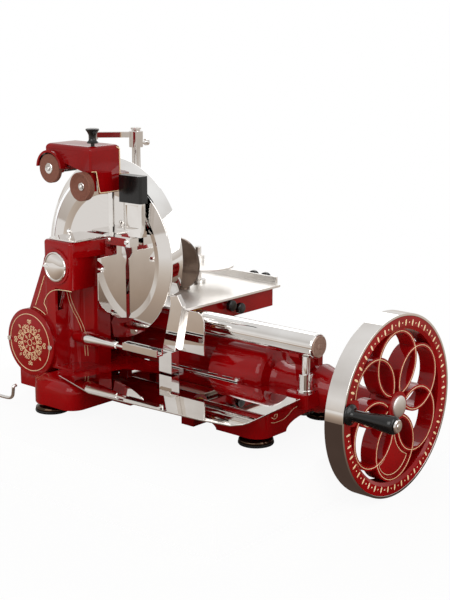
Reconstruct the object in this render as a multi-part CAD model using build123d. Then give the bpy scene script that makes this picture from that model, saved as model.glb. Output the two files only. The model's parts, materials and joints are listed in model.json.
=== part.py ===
from build123d import *
import os
from math import atan2, cos, degrees, pi, radians, sin, sqrt, tan

os.makedirs("parts", exist_ok=True)

# Hand crank flywheel meat slicer. X runs along the wheel shaft (wheel on +X), Y along the blade's axis
# (meat side on +Y), Z up from the plane of the feet. All is drawn about a point between the feet and saved
# about the foot that the model is placed by. Millimetres.

# ---------------------------------------------------------------- driving dimensions
RUN = 0.05                       # radial clearance of a shaft in its bush
FIT = 0.02                       # radial clearance of a bush in its housing
GAP = 0.3                        # air between pieces that don't bear on each other
WALL = 6.0                       # casting wall

BASE_X = (-240.0, 200.0)         # main box of the base
BASE_Y = (-66.0, 156.0)
BASE_Z = (15.0, 56.0)            # skirt edge, deck
BASE_R = 24.0
BLOCK_X = (-198.0, -98.0)        # forward block under the column
BLOCK_Y = (-150.0, 0.0)
FEET = [(-170.0, -127.0), (171.0, -39.0), (168.0, 127.0), (-170.0, 127.0)]
FOOT_R = 26.5
ORIGIN = FEET[1]                 # the saved model's origin
STUD_R = 5.0

WHEEL_Y, WHEEL_Z = 82.0, 60.0    # flywheel axis
WHEEL_X = (303.0, 334.0)
WHEEL_R = 135.0
BAND_T = 4.0
RIM_IN = WHEEL_R - 23.0
HUB_R = 22.0
PETALS = 6
RING_AT = 0.463 * WHEEL_R        # centres of the six rings that cross in petals
RING_R = RIM_IN - 2.0 - RING_AT
RIB_T = 6.0
RIB_X = (306.0, 331.0)
HAND_R, HAND_ANGLE = WHEEL_R - 13.8, 171.94
HANDLE_Y = WHEEL_Y + HAND_R * cos(radians(HAND_ANGLE))
HANDLE_Z = WHEEL_Z + HAND_R * sin(radians(HAND_ANGLE))
GRIP_X = (340.0, 411.0)
SHAFT_R = 8.0

COUNTER_Z = 91.0                 # countershaft height, also the chain case centre
COUNTER_R = 6.0
DRIVE_TEETH, COUNTER_TEETH = 40, 24      # flywheel shaft gear, countershaft pinion
GEAR_X = (30.0, 40.0)

CASE_X, CASE_Z, CASE_R = -247.0, 91.0, 55.0
CASE_Y = (-98.0, -70.0)
COVER_Y = -103.0
MITRE_TEETH = 16                     # teeth of each mitre gear
MITRE_D = 18.0                   # pitch radius of each mitre gear
MITRE_F = 0.65                   # small end as a share of the large end

COL_X = (-218.0, -154.0)
COL_Y = (-95.0, -13.0)
COL_TOP = 262.0
HEAD_Z = 187.0                   # underside of the overhanging head
CHEEK_X = -142.0                 # right cheek of the column's head
BLADE_X, BLADE_Y, BLADE_Z, BLADE_R = -155.0, -9.0, 231.0, 132.5
TOP_TEETH = 24                       # both top gears
TOP_PITCH = 15.0
TOP_Y = (-23.0, -17.0)
JACK_ANGLE = 10.0
JACK_X = BLADE_X - 2 * TOP_PITCH * cos(radians(JACK_ANGLE))
JACK_Z = BLADE_Z - 2 * TOP_PITCH * sin(radians(JACK_ANGLE))
CHAIN_PITCH = 6.35
LOW_TEETH, UP_TEETH = 24, 16             # sprocket teeth
CHAIN_Y = (-86.0, -80.0)

BAR_Y, BAR_Z, BAR_R = 47.0, 135.0, 19.0
BAR_X = (-262.0, 215.0)
BUSH_T = 1.5                     # wall of the carriage bushes
CAR_X = (-232.0, -20.0)
CAR_Y = (25.0, 235.0)
CAR_Z = (127.0, 157.0)
STROKE = 180.0                   # carriage travel
TABLE_X = (-235.0, -9.0)
TABLE_Y = (2.0, 248.0)
TABLE_Z = (159.0, 163.0)
CLAMP_X, CLAMP_Y, CLAMP_R = -108.0, 160.0, 50.0
CPOST_X, CPOST_Y = -128.0, 168.0
RAIL_Y, RAIL_Z = 140.0, 110.0    # rear rail, top face
ROLL_R = 8.0

CRANK_X, CRANK_Y = 60.0, 45.0    # crank gear axis
CRANK_TEETH, PINION_TEETH = 96, 16
CRANK_M = 2.0
CRANK_Z = (18.0, 26.0)
PIN_R = STROKE / 2               # throw of the crank
ROD_L = 150.0
ROD_Z = (28.0, 36.0)
PINION_X = CRANK_X + sqrt((CRANK_M * (CRANK_TEETH + PINION_TEETH) / 2) ** 2 - (WHEEL_Y - CRANK_Y) ** 2)
LUG_X = CRANK_X - PIN_R - ROD_L

SCREW_X, SCREW_Z, SCREW_R = -66.0, 139.0, 6.0
PRESS_X, PRESS_Y, PRESS_R, PRESS_TOP = -222.0, 120.0, 7.0, 418.0
ARM_X, ARM_Y = -272.0, 70.0
POST_X, POST_Y = 203.0, 36.0
SLANT = degrees(atan2(27.0, 34.0))   # front of the spindle housing against X
DEFL_X = (-119.5, -117.5)            # deflector plate, square to the blade
SHARP_X = (-226.0, -126.0)
SHARP_Y = (-75.0, -12.4)
SHARP_Z = (366.0, 410.0)
WHEEL1, WHEEL1_R = (-210.0, 372.0), 22.5   # grinding wheel (x, z)
WHEEL2, WHEEL2_R = (-139.0, 350.0), 22.0   # honing wheel (x, z)
SPOST_X, SPOST_Y, SPOST_R = -134.0, -25.0, 5.0


# ---------------------------------------------------------------- helpers
def box(x0, x1, y0, y1, z0, z1):
    return Pos((x0 + x1) / 2, (y0 + y1) / 2, (z0 + z1) / 2) * Box(x1 - x0, y1 - y0, z1 - z0)


def rod_x(x0, x1, y, z, r):
    return Pos((x0 + x1) / 2, y, z) * Rot(0, 90, 0) * Cylinder(r, x1 - x0)


def rod_y(y0, y1, x, z, r):
    return Pos(x, (y0 + y1) / 2, z) * Rot(90, 0, 0) * Cylinder(r, y1 - y0)


def rod_z(z0, z1, x, y, r):
    return Pos(x, y, (z0 + z1) / 2) * Cylinder(r, z1 - z0)


def turned(points):
    """Solid of revolution about Z from (radius, height) points."""
    outline = Polyline([(r, 0, h) for r, h in points] + [(points[0][0], 0, points[0][1])])
    return revolve(make_face(outline), Axis.Z)


def turned_x(y, z, points):
    return Pos(0, y, z) * Rot(0, 90, 0) * turned(points)


def turned_y(x, z, points):
    return Pos(x, 0, z) * Rot(-90, 0, 0) * turned(points)


def turned_z(x, y, points):
    return Pos(x, y, 0) * turned(points)


def plate_y(points, y0, y1):
    """Plate from (x, z) points between two Y planes."""
    face = make_face(Polyline([(x, y0, z) for x, z in points] + [(points[0][0], y0, points[0][1])]))
    return extrude(face, amount=y1 - y0, dir=(0, 1, 0))


def plate_x(points, x0, x1):
    face = make_face(Polyline([(x0, y, z) for y, z in points] + [(x0, points[0][0], points[0][1])]))
    return extrude(face, amount=x1 - x0, dir=(1, 0, 0))


def plate_z(points, z0, z1):
    face = make_face(Polyline([(x, y, z0) for x, y in points] + [(points[0][0], points[0][1], z0)]))
    return extrude(face, amount=z1 - z0, dir=(0, 0, 1))


def rounded(x0, x1, y0, y1, z0, z1, r):
    face = Pos((x0 + x1) / 2, (y0 + y1) / 2, z0) * RectangleRounded(x1 - x0, y1 - y0, r)
    return extrude(face, amount=z1 - z0)


def gear_points(teeth, pitch_r, phase=0.0, slack=0.30, tip=0.8, root=1.25):
    """Straight-flanked teeth; phase is the angle of one tooth's centre in degrees."""
    module = 2 * pitch_r / teeth
    r_tip, r_root = pitch_r + tip * module, pitch_r - root * module
    half = pi / teeth / 2 - slack / (2 * pitch_r)
    a_tip = half - tip * module * tan(radians(20)) / r_tip
    a_root = half + root * module * tan(radians(20)) / r_root
    points = []
    for i in range(teeth):
        mid = radians(phase) + 2 * pi * i / teeth
        for r, a in ((r_root, -a_root), (r_tip, -a_tip), (r_tip, a_tip), (r_root, a_root)):
            points.append((r * cos(mid + a), r * sin(mid + a)))
    return points


def gear(teeth, pitch_r, width, phase=0.0, **shape):
    """Gear about Z from height 0."""
    return extrude(make_face(Polyline(gear_points(teeth, pitch_r, phase, **shape), close=True)), amount=width)


def mitre(phase):
    """Mitre gear about Z: cone apex at the origin, teeth up to height MITRE_D."""
    sections = []
    for d in (MITRE_D * MITRE_F, MITRE_D):
        points = gear_points(MITRE_TEETH, d, phase, slack=0.6 * d / MITRE_D, tip=0.6, root=1.2)
        sections.append(make_face(Polyline([(x, y, d) for x, y in points], close=True)))
    return loft(sections, ruled=True)


def screw_head(r, h):
    return Cylinder(r, h) - Pos(0, 0, h / 2) * Box(2.2 * r, 0.24 * r, 0.8 * h)


def save(name, *solids):
    pieces = []
    for item in solids:
        pieces += [Pos(-ORIGIN[0], -ORIGIN[1], 0) * solid for solid in item.solids()]
    part = pieces[0] if len(pieces) == 1 else Compound(children=pieces)
    export_step(part, "parts/" + name + ".step")


def at_x(x):
    return Pos(x, 0, 0) * Rot(0, 90, 0)


MITRE_HALF = 180.0 / MITRE_TEETH
DRIVE_PITCH = (COUNTER_Z - WHEEL_Z) * DRIVE_TEETH / (DRIVE_TEETH + COUNTER_TEETH)
COUNTER_PITCH = COUNTER_Z - WHEEL_Z - DRIVE_PITCH
LOW_PITCH = CHAIN_PITCH / (2 * sin(pi / LOW_TEETH))
UP_PITCH = CHAIN_PITCH / (2 * sin(pi / UP_TEETH))
DRUM_X, DRUM_R = (16.0, 118.0), 50.0
COVER = [(0, DRUM_X[0]), (DRUM_R, DRUM_X[0]), (DRUM_R, 104), (48.5, 111), (44, 116), (37, 118), (29, 121), (26, 130),
         (25.5, 142), (27.5, 162), (32, 184), (37.5, 200), (0, 200)]
COVER_IN = [(0, 24), (DRUM_R - 5, 24), (DRUM_R - 5, 103), (40, 110), (30, 113), (22.5, 119), (21.3, 140), (23, 164),
            (27, 184), (33, 198), (33, 201), (0, 201)]

# ---------------------------------------------------------------- flywheel
WHEEL_PLANE = Plane(origin=(0, WHEEL_Y, WHEEL_Z), x_dir=(0, 1, 0), z_dir=(1, 0, 0))


def on_wheel(sketch, x0, x1):
    return WHEEL_PLANE * Pos(0, 0, x0) * extrude(sketch, amount=x1 - x0)


rim = turned_x(WHEEL_Y, WHEEL_Z, [(RIM_IN, 308), (RIM_IN, 331), (RIM_IN + 5, 334), (WHEEL_R - BAND_T - FIT, 334),
                                  (WHEEL_R - BAND_T - FIT, 303), (RIM_IN + 5, 303)])
rings = [Pos(RING_AT * cos(radians(30 + 360 * i / PETALS)), RING_AT * sin(radians(30 + 360 * i / PETALS)))
         for i in range(PETALS)]
web = on_wheel(rings[0] * (Circle(RING_R + RIB_T / 2) - Circle(RING_R - RIB_T / 2)), *RIB_X)
for ring in rings[1:]:
    web += on_wheel(ring * (Circle(RING_R + RIB_T / 2) - Circle(RING_R - RIB_T / 2)), *RIB_X)
fan = rings[4] * Circle(RING_R) - rings[3] * Circle(RING_R) - rings[5] * Circle(RING_R)
fan = on_wheel(fan, 310, 328)
hub = rod_x(298, 334, WHEEL_Y, WHEEL_Z, HUB_R)
lug_y, lug_z = HANDLE_Y - WHEEL_Y, HANDLE_Z - WHEEL_Z
boss = on_wheel(Rot(0, 0, degrees(atan2(lug_z, lug_y))) * Pos(HAND_R - 6.7, 0) * RectangleRounded(28, 37, 6), 309, 334)
wheel = rim + web + fan + hub + boss
wheel -= rod_x(290, 340, WHEEL_Y, WHEEL_Z, SHAFT_R + FIT)
wheel -= rod_x(312, 340, HANDLE_Y, HANDLE_Z, 5 + FIT)
save("flywheel", wheel)
save("rim_band", rod_x(*WHEEL_X, WHEEL_Y, WHEEL_Z, WHEEL_R)
     - rod_x(WHEEL_X[0] - 1, WHEEL_X[1] + 1, WHEEL_Y, WHEEL_Z, WHEEL_R - BAND_T))
save("hub_cap", turned_x(WHEEL_Y, WHEEL_Z, [(0, 334), (16, 334), (16, 338), (13, 342), (7, 344.5), (0, 345)]))
grip = turned_x(HANDLE_Y, HANDLE_Z, [(5 + RUN, 334 + GAP), (15, 334 + GAP), (15, 338), (9, 341), (8.5, 352),
                                     (10.5, 380), (13, 402), (11, 409), (5 + RUN, 410)])
save("handle_grip", grip)
save("handle_stud", turned_x(HANDLE_Y, HANDLE_Z, [(0, 312), (5, 312), (5, GRIP_X[1]), (6.5, GRIP_X[1]), (6.5, 413),
                                                  (4, 415), (0, 415.5)]))

# ---------------------------------------------------------------- flywheel shaft and its gears
shaft = rod_x(-234, 334, WHEEL_Y, WHEEL_Z, SHAFT_R)
drive = at_x(GEAR_X[0]) * gear(DRIVE_TEETH, DRIVE_PITCH, GEAR_X[1] - GEAR_X[0], 180.0)
drive = Pos(0, WHEEL_Y, WHEEL_Z) * drive
mitre_a = Pos(PINION_X, WHEEL_Y, WHEEL_Z) * Rot(0, 90, 0) * (mitre(0.0) + Pos(0, 0, MITRE_D) * extrude(Circle(11), 8))
save("flywheel_shaft", shaft + drive + mitre_a)
mitre_b = Pos(PINION_X, WHEEL_Y, WHEEL_Z) * Rot(180, 0, 0) * (mitre(MITRE_HALF)
                                                              + Pos(0, 0, MITRE_D) * extrude(Circle(11), 8))
CRANK_SIDE = degrees(atan2(CRANK_Y - WHEEL_Y, CRANK_X - PINION_X))
pinion = Pos(PINION_X, WHEEL_Y, CRANK_Z[0]) * gear(PINION_TEETH, CRANK_M * PINION_TEETH / 2, CRANK_Z[1] - CRANK_Z[0], CRANK_SIDE)
upright = rod_z(12, 34, PINION_X, WHEEL_Y, 6)
save("upright_pinion", mitre_b + pinion + upright)
crank = Pos(CRANK_X, CRANK_Y, CRANK_Z[0]) * gear(CRANK_TEETH, CRANK_M * CRANK_TEETH / 2, CRANK_Z[1] - CRANK_Z[0],
                                                 CRANK_SIDE + 180.0 + 180.0 / CRANK_TEETH)
for i in range(6):
    crank -= Pos(CRANK_X, CRANK_Y, 0) * Rot(0, 0, 30 + 60 * i) * Pos(52, 0, 22) * Cylinder(19, 20)
crank += rod_z(16, CRANK_Z[1], CRANK_X, CRANK_Y, 16)
crank -= rod_z(0, 60, CRANK_X, CRANK_Y, 8 + RUN)
crank -= rod_z(0, 60, CRANK_X - PIN_R, CRANK_Y, 4 + RUN)
save("crank_gear", crank)
rod = box(LUG_X, LUG_X + ROD_L, CRANK_Y - 6, CRANK_Y + 6, *ROD_Z)
rod += rod_z(*ROD_Z, LUG_X, CRANK_Y, 10) + rod_z(*ROD_Z, LUG_X + ROD_L, CRANK_Y, 10)
rod += rod_z(CRANK_Z[1] + GAP, ROD_Z[1] + 2, LUG_X + ROD_L, CRANK_Y, 4)
save("connecting_rod", rod - rod_z(0, 60, LUG_X, CRANK_Y, 4 + RUN))

# ---------------------------------------------------------------- countershaft, cross shaft
counter = rod_x(CASE_X + MITRE_D, GEAR_X[1] + 4, WHEEL_Y, COUNTER_Z, COUNTER_R)
counter += Pos(0, WHEEL_Y, COUNTER_Z) * at_x(GEAR_X[0] - 2) * gear(COUNTER_TEETH, COUNTER_PITCH,
                                                                   GEAR_X[1] - GEAR_X[0] + 4, 180.0 / COUNTER_TEETH)
counter += Pos(CASE_X, WHEEL_Y, COUNTER_Z) * Rot(0, 90, 0) * (mitre(90.0) + Pos(0, 0, MITRE_D) * extrude(Circle(11), 6))
save("countershaft", counter)
cross = rod_y(COVER_Y + 8, WHEEL_Y - MITRE_D, CASE_X, CASE_Z, COUNTER_R)
cross += Pos(CASE_X, WHEEL_Y, CASE_Z) * Rot(90, 0, 0) * (mitre(MITRE_HALF) + Pos(0, 0, MITRE_D) * extrude(Circle(11), 6))
low = Pos(CASE_X, CHAIN_Y[0] + 1, CASE_Z) * Rot(-90, 0, 0) * gear(LOW_TEETH, LOW_PITCH - 5.2, 4, 0, slack=0.8)
save("cross_shaft", cross + low)
up = Pos(JACK_X, CHAIN_Y[0] + 1, JACK_Z) * Rot(-90, 0, 0) * gear(UP_TEETH, UP_PITCH - 5.2, 4, 0, slack=0.8)
up += rod_y(-87, TOP_Y[1], JACK_X, JACK_Z, 5)
up += Pos(JACK_X, TOP_Y[0], JACK_Z) * Rot(-90, 0, 0) * gear(TOP_TEETH, TOP_PITCH, TOP_Y[1] - TOP_Y[0], JACK_ANGLE * -1)
save("jackshaft", up)

# chain: links stand along the two straight runs and round both sprockets
dx, dz = JACK_X - CASE_X, JACK_Z - CASE_Z
run = sqrt(dx * dx + dz * dz)
lean = degrees(atan2(dz, dx))
skew = degrees(atan2(LOW_PITCH - UP_PITCH, sqrt(run ** 2 - (LOW_PITCH - UP_PITCH) ** 2)))
outer = [(LOW_PITCH, 90 + skew + (180 - 2 * skew) * i / 14, 0) for i in range(15)]
path = [(r * cos(radians(a)), r * sin(radians(a))) for r, a, _ in outer]
path += [(run + UP_PITCH * cos(radians(a)), UP_PITCH * sin(radians(a)))
         for a in [-90 - skew + (180 + 2 * skew) * i / 10 for i in range(11)]]
turn_pts = [(CASE_X + px * cos(radians(lean)) - pz * sin(radians(lean)),
             CASE_Z + px * sin(radians(lean)) + pz * cos(radians(lean))) for px, pz in path]
band_line = Polyline([(x, CHAIN_Y[0], z) for x, z in turn_pts], close=True)
belt = make_face(offset(band_line, 1.4, kind=Kind.INTERSECTION)) - make_face(offset(band_line, -1.4,
                                                                                    kind=Kind.INTERSECTION))
save("drive_chain", extrude(belt, amount=CHAIN_Y[1] - CHAIN_Y[0], dir=(0, 1, 0)))

# ---------------------------------------------------------------- base casting
base = rounded(*BASE_X, *BASE_Y, *BASE_Z, BASE_R)
base = fillet(base.edges().filter_by_position(Axis.Z, BASE_Z[1] - 0.1, BASE_Z[1] + 0.1), 9)
block = rounded(*BLOCK_X, *BLOCK_Y, *BASE_Z, 24)
block = fillet(block.edges().filter_by_position(Axis.Z, BASE_Z[1] - 0.1, BASE_Z[1] + 0.1), 16)
base += block + rounded(-286, BLOCK_X[0] + 10, -97, -40, BASE_Z[0], 44, 10)
hollow = rounded(BASE_X[0] + WALL, BASE_X[1] - WALL, BASE_Y[0] + WALL, BASE_Y[1] - WALL, 0, BASE_Z[1] - WALL, 18)
hollow += rounded(BLOCK_X[0] + WALL, BLOCK_X[1] - WALL, BLOCK_Y[0] + WALL, BLOCK_Y[1] - WALL, 0, BASE_Z[1] - WALL, 14)
lobe = rounded(-285, -234, 30, 130, BASE_Z[0], 118, 10) + box(-250, -225, 30, 130, BASE_Z[0], 106)
lobe_in = rounded(-279, -240, 36, 124, 0, 112, 6) + box(-250, -216, 36, 124, 0, 100)
ridge = rounded(-236, -188, 60, 104, 50, 106, 4) + box(-190, DRUM_X[0], 60, 104, 50, 84)
ridge += rod_x(-190, DRUM_X[0], WHEEL_Y, 84, 22)
ridge_in = box(-240, -194, 65, 99, 0, 101) + box(-196, DRUM_X[0] + 1, 65, 99, 0, 84) + rod_x(-196, DRUM_X[0] + 1, WHEEL_Y, 84, 17)
base += lobe + ridge
base -= hollow
base -= lobe_in
base -= ridge_in
for x, y in FEET:
    base += rod_z(BASE_Z[0], BASE_Z[1] - 2, x, y, 25)
base += box(-240, -192, 65, 99, 40, 104)
base -= box(-285 + WALL, -208, 65, 99, 40, 102)
base += box(-240, -221, 64.5, 104, 100, 115) + box(-240, -233, 56, 66, 100, 115)
base -= rod_x(-245, -228, WHEEL_Y, COUNTER_Z, 20.5)
base -= rod_y(60, 72, CASE_X, CASE_Z, 20.5)
base -= rod_x(-240, -222.5, WHEEL_Y, COUNTER_Z, 12)
base += rounded(176, 217, 20, 56, BASE_Z[1] - 12, 66, 6)
base += box(-40, -14, -20, -3, BASE_Z[1] - 2, 98)
base += box(-262, -244, 31, 63, 116, 135) + rod_x(-262, -244, BAR_Y, BAR_Z, 25)
for x in (-238, 146):
    base += box(x - 6, x + 6, RAIL_Y - 6, RAIL_Y + 6, BASE_Z[1] - 8, RAIL_Z - 8)
for x, y in ((-60, -50), (150, -40), (150, 5)):
    base += rod_z(BASE_Z[1] - 2, 60, x, y, 7)
base += box(PINION_X - 12, PINION_X + 12, WHEEL_Y - 9, 110, CRANK_Z[1] + 1, 33)
base -= box(DRUM_X[0] + 8, GEAR_X[1] + 6, 59, 105, 44, 60) + box(143, BASE_X[1] - WALL, 59, 105, 44, 60)
base -= box(LUG_X - 13, LUG_X + STROKE + 13, CRANK_Y - 9, CRANK_Y + 9, 40, 70)
arch = Pos(30, 0, BASE_Z[0]) * Rot(90, 0, 0) * extrude(Ellipse(88, 19), amount=400, both=True)
base -= arch & box(-200, 200, -90, -57, 0, 60)
base -= arch & box(-200, 200, 147, 180, 0, 60)
base -= Pos(195, 45, BASE_Z[0]) * Rot(0, 90, 0) * extrude(Ellipse(17, 50), amount=20, both=True)
base -= rod_x(-300, 200, WHEEL_Y, WHEEL_Z, SHAFT_R + 3)
base -= rod_x(-232, -150, WHEEL_Y, COUNTER_Z, COUNTER_R + 3)
base -= rod_x(-300, 190, BAR_Y, BAR_Z, BAR_R + FIT)
base -= rod_y(20, 64, CASE_X, CASE_Z, COUNTER_R + 3)
base += rod_z(9, CRANK_Z[1], CRANK_X, CRANK_Y, 8) + box(CRANK_X - 12, CRANK_X + 12, BASE_Y[0] + 1, BASE_Y[1] - 1, 9, 14.5)
for y in (BASE_Y[0] + 1, BASE_Y[1] - 9):
    base += box(CRANK_X - 12, CRANK_X + 12, y, y + 8, 9, 52)
base -= rod_z(0, 40, PINION_X, WHEEL_Y, 6 + RUN)
base -= turned_x(WHEEL_Y, WHEEL_Z, [(0, DRUM_X[0])] + [(r + GAP, x) for r, x in COVER[1:-1]] + [(0, 200)]) \
    & box(DRUM_X[0], 201, 0, 150, BASE_Z[1], 120)
base -= turned_x(WHEEL_Y, WHEEL_Z, [(0, 200), (37.5 + GAP, 200), (36 + GAP, 205), (17 + GAP, 268), (0, 268)])
base -= rod_y(CASE_Y[0] - 12, CASE_Y[1] + GAP, CASE_X, CASE_Z, CASE_R + GAP)
for x, y in FEET:
    base -= rod_z(0, 42, x, y, STUD_R + FIT)
base -= box(*[COL_X[0] + WALL, COL_X[1] - WALL], -89, -20, 40, 60)
save("base_casting", base)
foot = [(0, 0), (FOOT_R - 2, 0), (FOOT_R, 2.5), (FOOT_R, 7), (FOOT_R - 3, 10), (20, 11.5), (19, BASE_Z[0]), (0, BASE_Z[0])]
save("feet", *[turned_z(x, y, foot) + rod_z(4, 40, x, y, STUD_R) for x, y in FEET])

# ---------------------------------------------------------------- gear cover, nose, bushes
cover = turned_x(WHEEL_Y, WHEEL_Z, COVER) - turned_x(WHEEL_Y, WHEEL_Z, COVER_IN)
cover += rod_x(DRUM_X[0], GEAR_X[0] - 3, WHEEL_Y, COUNTER_Z, 11)
cover &= box(DRUM_X[0], 200, 20, 150, BASE_Z[1], 120)
cover -= rod_x(0, 29.9, WHEEL_Y, COUNTER_Z, COUNTER_R + 2)
cover -= rod_x(0, 30, WHEEL_Y, WHEEL_Z, SHAFT_R + 2)
cover += rod_x(104, 121, 62, 88, 6.5)
save("gear_cover", cover)
nose = turned_x(WHEEL_Y, WHEEL_Z, [(37.5, 200), (36, 205), (17, 268), (17, 294), (11, 294), (11, 220), (26, 206),
                                   (26, 200)])
save("shaft_nose", nose)
bush_x = [(224, 240), (278, 294)]
bushes = [rod_x(a, b, WHEEL_Y, WHEEL_Z, 11 - FIT) - rod_x(a, b, WHEEL_Y, WHEEL_Z, SHAFT_R + RUN) for a, b in bush_x]
bushes.append(rod_x(-208 + 0, -192, WHEEL_Y, WHEEL_Z, SHAFT_R + 3 - FIT)
              - rod_x(-210, -190, WHEEL_Y, WHEEL_Z, SHAFT_R + RUN))
bushes.append(rod_x(-208, -192, WHEEL_Y, COUNTER_Z, COUNTER_R + 3 - FIT)
              - rod_x(-210, -190, WHEEL_Y, COUNTER_Z, COUNTER_R + RUN))
bushes.append(rod_x(DRUM_X[0] + 1, 27, WHEEL_Y, COUNTER_Z, COUNTER_R + 2 - FIT)
              - rod_x(0, 30, WHEEL_Y, COUNTER_Z, COUNTER_R + RUN))
bushes.append(rod_y(30, 36, CASE_X, CASE_Z, COUNTER_R + 3 - FIT) - rod_y(29, 37, CASE_X, CASE_Z, COUNTER_R + RUN))
bushes.append(rod_y(-76, -66, CASE_X, CASE_Z, COUNTER_R + 3 - FIT) - rod_y(-77, -65, CASE_X, CASE_Z, COUNTER_R + RUN))

# ---------------------------------------------------------------- column casting with chain case
col = box(*COL_X, *COL_Y, 100, COL_TOP)
col = fillet(col.edges().filter_by(Axis.Z).sort_by(Axis.Y)[:2], 7)
col = fillet(col.edges().filter_by_position(Axis.Z, COL_TOP - 0.1, COL_TOP + 0.1), 5)
cheek = plate_z([(-160, -86), (-154, -86), (CHEEK_X, -24), (CHEEK_X, COL_Y[1]), (-160, COL_Y[1])], 237, COL_TOP)
cheek = fillet(cheek.edges().filter_by_position(Axis.Z, COL_TOP - 0.1, COL_TOP + 0.1).sort_by(Axis.X)[-1:], 3)
col += cheek
flare = make_face(Polyline([(-238, -13, 56), (COL_X[1], -13, 56), (COL_X[1], -13, 140), (-218, -13, 140)])
                  + ThreePointArc((-218, -13, 140), (-222, -13, 90), (-238, -13, 56)))
col += extrude(flare, amount=82, dir=(0, -1, 0))
neck = Pos((CASE_X + JACK_X) / 2, (CASE_Y[0] + CASE_Y[1]) / 2, (CASE_Z + JACK_Z) / 2) * Rot(0, -lean, 0)
col += (neck * Box(run, 20, 60)) & box(-300, COL_X[1], -110, -60, 60, COL_TOP - 6)
col += rod_y(*CASE_Y, CASE_X, CASE_Z, CASE_R)
col += rod_y(CASE_Y[1] - 4, 30, CASE_X, CASE_Z, 20)
sweep = Polyline([(-154, -41, 60), (-150, -41, 60), (-150, -120, 60), (-192, -120, 60), (-192, -70, 60)])
sweep += ThreePointArc((-192, -70, 60), (-180, -50, 60), (-154, -41, 60))
col -= extrude(make_face(sweep), amount=HEAD_Z - 60, dir=(0, 0, 1))
col += rod_x(-188, -166, -56, 103, 9)
col -= box(COL_X[0] + WALL, COL_X[1] - WALL, -89, -16.5, 192, COL_TOP - WALL)
col -= box(COL_X[0] + WALL, COL_X[1] - WALL, -36, -19, 0, 193)
col -= rod_y(CASE_Y[0] - 1, -76, CASE_X, CASE_Z, CASE_R - 5)
col -= (neck * Box(run, 12, 50)) & box(-300, COL_X[1] - WALL, -110, -60, 0, COL_TOP - WALL)
col -= rod_y(-70, 40, CASE_X, CASE_Z, 12)
col -= rod_y(-80, -60, CASE_X, CASE_Z, COUNTER_R + 3)
col -= rod_y(-31, -16.5, BLADE_X, BLADE_Z, 17.5)
col -= rod_y(-20, 0, BLADE_X, BLADE_Z, 10)
col += rod_y(COL_Y[0] - 3, COL_Y[0] + 1, -186, 222, 28) - rod_y(-110, COL_Y[0], -186, 222, 24 + GAP)
save("column_casting", col)
save("chain_cover", turned_y(CASE_X, CASE_Z, [(0, COVER_Y), (48, COVER_Y), (CASE_R, COVER_Y + 1.5), (CASE_R, CASE_Y[0]),
                                              (0, CASE_Y[0])]) - rod_y(COVER_Y + 2, -90, CASE_X, CASE_Z, 12))
heads = [Pos(CASE_X + s * 49, COVER_Y - 1 + 0.8, CASE_Z) * Rot(90, 0, 0) * screw_head(4, 2) for s in (-1, 1)]
screws = [Pos(0, -1, 0) * h for h in heads]

# ---------------------------------------------------------------- blade, spindle, housing
slant_cut = Pos(-154, -39.5, BLADE_Z) * Rot(0, 0, SLANT) * Pos(0, -50, 0) * Box(300, 100, 400)
house = rod_y(-36, COL_Y[1], BLADE_X, BLADE_Z, 22) & box(COL_X[1], -100, -40, 0, 200, 260)
house -= slant_cut
house -= cheek
house -= rod_y(-31, -16.5, BLADE_X, BLADE_Z, 17.5) - Pos(0, 3, 0) * slant_cut
house -= rod_y(-20, 0, BLADE_X, BLADE_Z, 10)
save("spindle_housing", house)
spindle = rod_y(-27, 2, BLADE_X, BLADE_Z, 7)
spindle += rod_y(-12.8, -11, BLADE_X, BLADE_Z, 12)
spindle += Pos(BLADE_X, TOP_Y[0], BLADE_Z) * Rot(-90, 0, 0) * gear(TOP_TEETH, TOP_PITCH, TOP_Y[1] - TOP_Y[0],
                                                                  180.0 - JACK_ANGLE + 180.0 / TOP_TEETH)
save("blade_spindle", spindle)
bushes.append(rod_y(-16.5, -13, BLADE_X, BLADE_Z, 10 - FIT) - rod_y(-17, -12, BLADE_X, BLADE_Z, 7 + RUN))
save("shaft_bushes", *bushes)
blade = [(7 + FIT, -11), (30, -11), (36, -8.5), (BLADE_R - 34.5, -8.5), (BLADE_R - 23.5, -12), (BLADE_R, -9.2), (BLADE_R, -8.8),
         (BLADE_R - 23.5, -9.5), (BLADE_R - 34.5, -6), (36, -6), (30, -5.5), (7 + FIT, -5.5)]
save("blade", turned_y(BLADE_X, BLADE_Z, blade))
nut = Pos(BLADE_X, -5.5, BLADE_Z) * Rot(-90, 0, 0) * extrude(RegularPolygon(13, 6), amount=6)
save("blade_nut", nut - rod_y(-8, 4, BLADE_X, BLADE_Z, 7 + FIT))

# ---------------------------------------------------------------- blade guard
front = Plane(origin=(BLADE_X, -12, BLADE_Z), x_dir=(1, 0, 0), z_dir=(0, -1, 0))
back = Plane(origin=(BLADE_X - 6, 8, BLADE_Z + 8), x_dir=(1, 0, 0), z_dir=(0, -1, 0))
ring = loft([front * Circle(BLADE_R + 5.5), back * Circle(BLADE_R + 14.5)])
ring -= loft([front * Circle(BLADE_R + 2.5), back * Circle(BLADE_R + 11.5)])
ring -= plate_y([(BLADE_X, BLADE_Z)] + [(BLADE_X + 2 * BLADE_R * cos(radians(a)), BLADE_Z + 2 * BLADE_R * sin(radians(a)))
                                        for a in (-20, -50, -80, -110, -138)], -20, 20)
save("blade_guard", ring)
arm = plate_y([(-24, 184), (-8, 188), (2, 172), (-14, 98), (-40, 98), (-22, 172)], -12, -3)
save("guard_arm", arm - ring)
save("badge_plate", plate_y([(-14, 165), (26, 165), (34, 161), (38, 152), (38, 99), (-28, 99)], -3, -0.6))

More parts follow.
